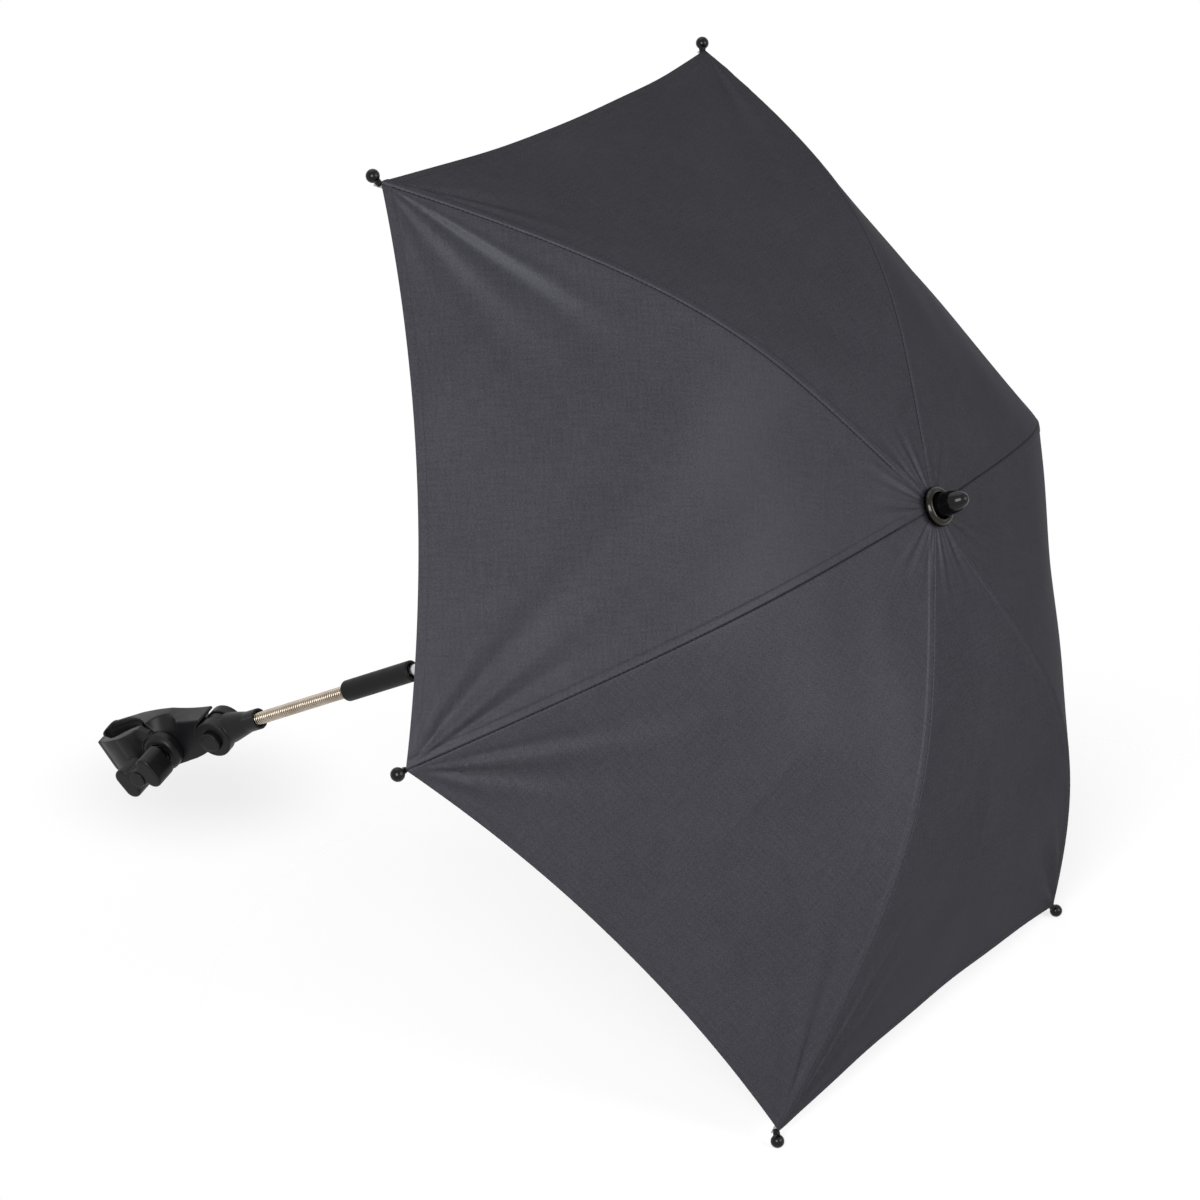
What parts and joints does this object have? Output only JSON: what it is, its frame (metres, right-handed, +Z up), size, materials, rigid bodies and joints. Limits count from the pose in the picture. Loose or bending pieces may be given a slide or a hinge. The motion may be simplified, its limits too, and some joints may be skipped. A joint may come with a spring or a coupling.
{
  "type": "pram parasol",
  "caption": "Clamp-on pram parasol: scalloped fabric canopy on folding steel ribs, slim tube, gooseneck, tilting yoke and a padded screw clamp",
  "frame": {"origin": "in the clamp's mouth, at mid height on the axis of a small tube that rests against the fixed jaw", "axes": "+Z up the mast towards the finial, -Y the clamp's front with the knob, the clamped tube runs along X"},
  "size_m": [0.6844, 0.6844, 0.7403],
  "materials": {
    "canopy_fabric": "plain-woven polyester, satin",
    "steel": "drawn, plated",
    "tube_metal": "satin anodised",
    "neck_metal": "nickel plated, wound",
    "collar_metal": "black nickel, polished",
    "rubber": "ribbed",
    "brass": "turned",
    "gloss_black": "polished",
    "satin_black": "satin moulded"
  },
  "bodies": {
    "clamp": {"clamp_body": "satin_black", "fixed_pad": "rubber", "clamp_screw": "steel"},
    "jaw": {"moving_jaw": "satin_black", "moving_pad": "rubber"},
    "hand_knob": {"knob": "satin_black", "knob_insert": "brass", "knob_cap": "satin_black", "screw_washer": "steel"},
    "hinge_yoke": {"yoke": "satin_black", "neck_bottom_plug": "steel", "button_spring": "steel"},
    "button": {"tilt_button": "satin_black"},
    "neck": {"neck_core": "steel", "neck_coil": "neck_metal"},
    "mast": {"shaft_tube": "tube_metal", "grip_sleeve": "satin_black", "neck_top_plug": "steel", "top_notch": "satin_black", "notch_wire": "steel", "notch_pin": "steel", "collar": "collar_metal", "finial": "gloss_black"},
    "slider": {"runner": "satin_black", "runner_wire": "steel"},
    "catch": {"catch_spring": "steel"},
    "rib_1_frame": {"rib_1": "steel", "rib_rivet_1": "steel", "ball_tip_1": "gloss_black", "canopy_panel_1": "canopy_fabric"},
    "stretcher_1_bar": {"stretcher_1": "steel"},
    "rib_2_frame": {"rib_2": "steel", "rib_rivet_2": "steel", "ball_tip_2": "gloss_black", "canopy_panel_2": "canopy_fabric"},
    "stretcher_2_bar": {"stretcher_2": "steel"},
    "rib_3_frame": {"rib_3": "steel", "rib_rivet_3": "steel", "ball_tip_3": "gloss_black", "canopy_panel_3": "canopy_fabric"},
    "stretcher_3_bar": {"stretcher_3": "steel"},
    "rib_4_frame": {"rib_4": "steel", "rib_rivet_4": "steel", "ball_tip_4": "gloss_black", "canopy_panel_4": "canopy_fabric"},
    "stretcher_4_bar": {"stretcher_4": "steel"},
    "rib_5_frame": {"rib_5": "steel", "rib_rivet_5": "steel", "ball_tip_5": "gloss_black", "canopy_panel_5": "canopy_fabric"},
    "stretcher_5_bar": {"stretcher_5": "steel"},
    "rib_6_frame": {"rib_6": "steel", "rib_rivet_6": "steel", "ball_tip_6": "gloss_black", "canopy_panel_6": "canopy_fabric"},
    "stretcher_6_bar": {"stretcher_6": "steel"}
  },
  "joints": [
    {"name": "jaw_open", "type": "slide", "parent": "clamp", "child": "jaw", "axis": [0, -1, 0], "range_m": [0, 0.006]},
    {"name": "knob_turn", "type": "hinge", "parent": "jaw", "child": "hand_knob", "pos_m": [0.009, 0, 0.031], "axis": [0, -1, 0], "range_deg": [0, 720]},
    {"name": "tilt", "type": "hinge", "parent": "clamp", "child": "hinge_yoke", "pos_m": [0.013, 0, 0.077], "axis": [0, 1, 0], "range_deg": [-50, 90]},
    {"name": "button_press", "type": "slide", "parent": "hinge_yoke", "child": "button", "axis": [0, 1, 0], "range_m": [0, 0.002], "stiffness_N_per_m": 600, "deforming": ["button_spring"]},
    {"name": "neck_bend_side", "type": "hinge", "parent": "hinge_yoke", "child": "neck", "pos_m": [0.013, 0, 0.137], "axis": [1, 0, 0], "range_deg": [-45, 45], "deforming": ["neck_coil", "neck_core"]},
    {"name": "neck_bend_front", "type": "hinge", "parent": "neck", "child": "mast", "pos_m": [0.013, 0, 0.179], "axis": [0, 1, 0], "range_deg": [-45, 45], "deforming": ["neck_coil", "neck_core"]},
    {"name": "runner_slide", "type": "slide", "parent": "mast", "child": "slider", "axis": [0, 0, -1], "range_m": [0, 0.23583]},
    {"name": "catch_press", "type": "slide", "parent": "mast", "child": "catch", "axis": [-0.7071, -0.7071, 0], "range_m": [0, 0.0024], "stiffness_N_per_m": 500},
    {"name": "rib_1_fold", "type": "hinge", "parent": "mast", "child": "rib_1_frame", "pos_m": [0.02169, 0.00233, 0.6876], "axis": [-0.2588, 0.9659, 0], "range_deg": [0, 66], "deforming": ["canopy_panel_1", "catch_spring"]},
    {"name": "stretcher_1_fold", "type": "hinge", "parent": "rib_1_frame", "child": "stretcher_1_bar", "pos_m": [0.17624, 0.04374, 0.6605], "axis": [-0.2588, 0.9659, 0], "range_deg": [-121.65, 0]},
    {"name": "rib_2_fold", "type": "hinge", "parent": "mast", "child": "rib_2_frame", "pos_m": [0.01533, 0.00869, 0.6876], "axis": [-0.9659, 0.2588, 0], "range_deg": [0, 66], "deforming": ["canopy_panel_2"]},
    {"name": "stretcher_2_fold", "type": "hinge", "parent": "rib_2_frame", "child": "stretcher_2_bar", "pos_m": [0.05674, 0.16324, 0.6605], "axis": [-0.9659, 0.2588, 0], "range_deg": [-121.65, 0]},
    {"name": "rib_3_fold", "type": "hinge", "parent": "mast", "child": "rib_3_frame", "pos_m": [0.00664, 0.00636, 0.6876], "axis": [-0.7071, -0.7071, 0], "range_deg": [0, 66], "deforming": ["canopy_panel_3"]},
    {"name": "stretcher_3_fold", "type": "hinge", "parent": "rib_3_frame", "child": "stretcher_3_bar", "pos_m": [-0.1065, 0.1195, 0.6605], "axis": [-0.7071, -0.7071, 0], "range_deg": [-121.65, 0]},
    {"name": "rib_4_fold", "type": "hinge", "parent": "mast", "child": "rib_4_frame", "pos_m": [0.00431, -0.00233, 0.6876], "axis": [0.2588, -0.9659, 0], "range_deg": [0, 66], "deforming": ["canopy_panel_4"]},
    {"name": "stretcher_4_fold", "type": "hinge", "parent": "rib_4_frame", "child": "stretcher_4_bar", "pos_m": [-0.15024, -0.04374, 0.6605], "axis": [0.2588, -0.9659, 0], "range_deg": [-121.65, 0]},
    {"name": "rib_5_fold", "type": "hinge", "parent": "mast", "child": "rib_5_frame", "pos_m": [0.01067, -0.00869, 0.6876], "axis": [0.9659, -0.2588, 0], "range_deg": [0, 66], "deforming": ["canopy_panel_5"]},
    {"name": "stretcher_5_fold", "type": "hinge", "parent": "rib_5_frame", "child": "stretcher_5_bar", "pos_m": [-0.03074, -0.16324, 0.6605], "axis": [0.9659, -0.2588, 0], "range_deg": [-121.65, 0]},
    {"name": "rib_6_fold", "type": "hinge", "parent": "mast", "child": "rib_6_frame", "pos_m": [0.01936, -0.00636, 0.6876], "axis": [0.7071, 0.7071, 0], "range_deg": [0, 66], "deforming": ["canopy_panel_6"]},
    {"name": "stretcher_6_fold", "type": "hinge", "parent": "rib_6_frame", "child": "stretcher_6_bar", "pos_m": [0.1325, -0.1195, 0.6605], "axis": [0.7071, 0.7071, 0], "range_deg": [-121.65, 0]}
  ],
  "couplings": [
    {"joint": "runner_slide", "follows": "rib_1_fold", "m_per_rad": 0.20472},
    {"joint": "knob_turn", "follows": "jaw_open", "rad_per_m": 2094.4},
    {"joint": "stretcher_1_fold", "follows": "rib_1_fold", "ratio": -1.8432},
    {"joint": "rib_2_fold", "follows": "rib_1_fold", "ratio": 1},
    {"joint": "stretcher_2_fold", "follows": "rib_1_fold", "ratio": -1.8432},
    {"joint": "rib_3_fold", "follows": "rib_1_fold", "ratio": 1},
    {"joint": "stretcher_3_fold", "follows": "rib_1_fold", "ratio": -1.8432},
    {"joint": "rib_4_fold", "follows": "rib_1_fold", "ratio": 1},
    {"joint": "stretcher_4_fold", "follows": "rib_1_fold", "ratio": -1.8432},
    {"joint": "rib_5_fold", "follows": "rib_1_fold", "ratio": 1},
    {"joint": "stretcher_5_fold", "follows": "rib_1_fold", "ratio": -1.8432},
    {"joint": "rib_6_fold", "follows": "rib_1_fold", "ratio": 1},
    {"joint": "stretcher_6_fold", "follows": "rib_1_fold", "ratio": -1.8432}
  ]
}
